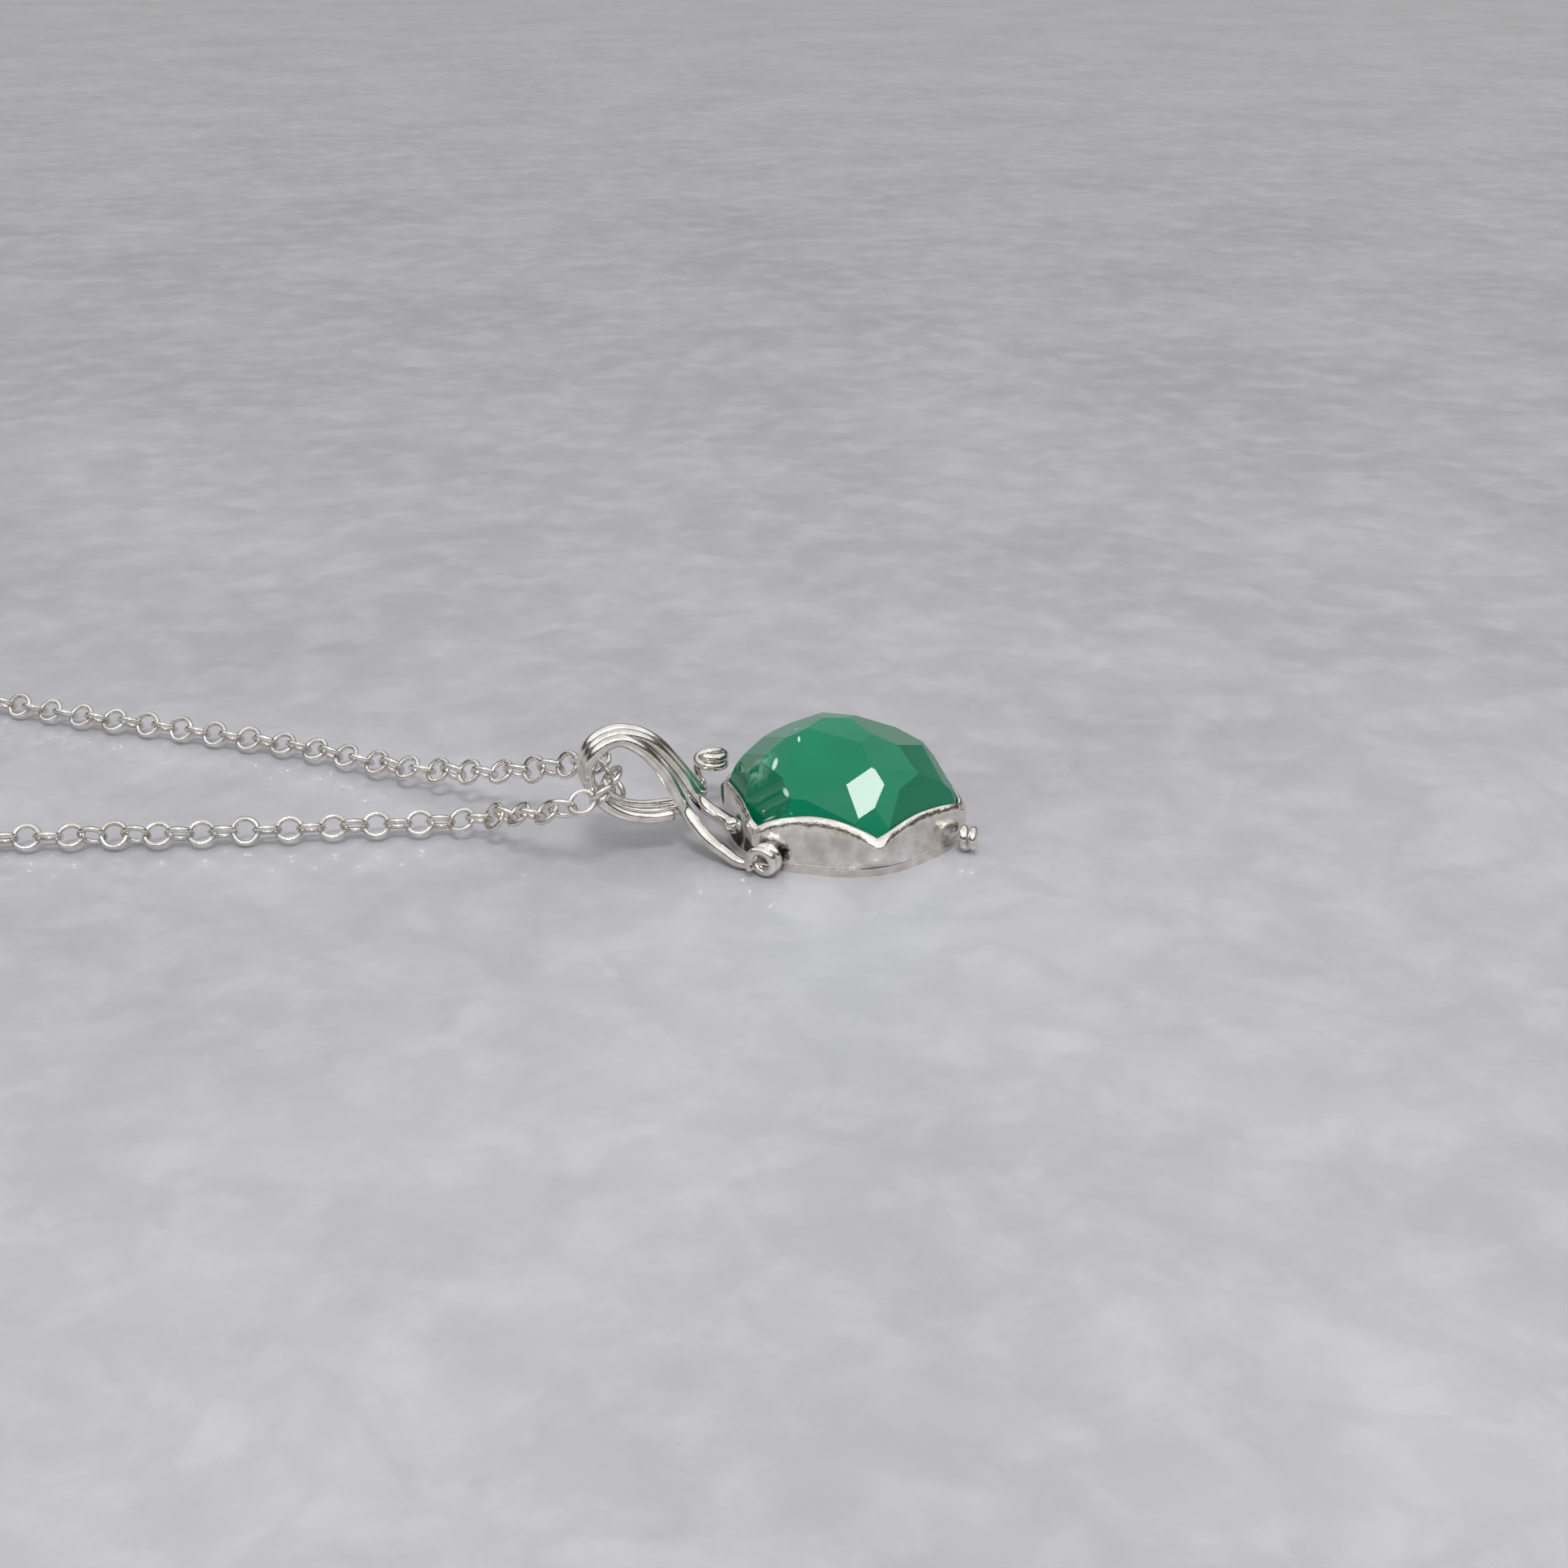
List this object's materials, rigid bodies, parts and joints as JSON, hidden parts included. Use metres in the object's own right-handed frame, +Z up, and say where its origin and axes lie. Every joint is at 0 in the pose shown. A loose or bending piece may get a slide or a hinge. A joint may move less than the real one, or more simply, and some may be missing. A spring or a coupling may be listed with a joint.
{
  "type": "pendant necklace",
  "caption": "Pendant necklace: faceted green stone in a scalloped bezel, wire bail, rolo chain with a spring-ring clasp.",
  "frame": {"origin": "middle of the back plate's underside", "axes": "+X from the bail to the pendant's tip, +Z up out of the back towards the stone's face, +Y to the left seen from above with +X to the right"},
  "size_m": [0.0866, 0.0436, 0.0078],
  "materials": {
    "silver": "polished",
    "setting_silver": "hand-polished, with fine scratches",
    "chain_silver": "polished",
    "spring_steel": "plain",
    "stone": "polished facets"
  },
  "bodies": {
    "chain": {"chain_run": "chain_silver", "chain_coil": "chain_silver", "chain_clasp_end": "chain_silver", "chain_ring_end": "chain_silver", "clasp_jump_ring": "silver", "end_ring": "silver"},
    "pendant": {"back_plate": "setting_silver", "stone_ledge": "setting_silver", "bezel_wall": "setting_silver", "gemstone": "stone", "wire_near": "silver", "wire_middle": "silver", "wire_far": "silver", "curl_near": "silver", "curl_far": "silver"},
    "clasp": {"clasp_body": "silver", "clasp_spring": "spring_steel", "clasp_eye": "silver"},
    "bolt": {"clasp_bolt": "silver"}
  },
  "joints": [
    {"name": "pendant_swing", "type": "hinge", "parent": "chain", "child": "pendant", "pos_m": [-0.0139, 0, 0.0049], "axis": [0, -1, 0], "range_deg": [0, 120]},
    {"name": "clasp_tilt", "type": "hinge", "parent": "chain", "child": "clasp", "pos_m": [-0.0673, 0.01952, 0.00062], "axis": [0.454, -0.891, 0], "range_deg": [0, 100]},
    {"name": "clasp_bolt_turn", "type": "hinge", "parent": "clasp", "child": "bolt", "pos_m": [-0.0644, 0.021, 0.00062], "axis": [0, 0, 1], "range_deg": [0, 44], "stiffness_Nm_per_rad": 0.0004, "springref_deg": -17.19, "deforming": ["clasp_spring"]}
  ]
}
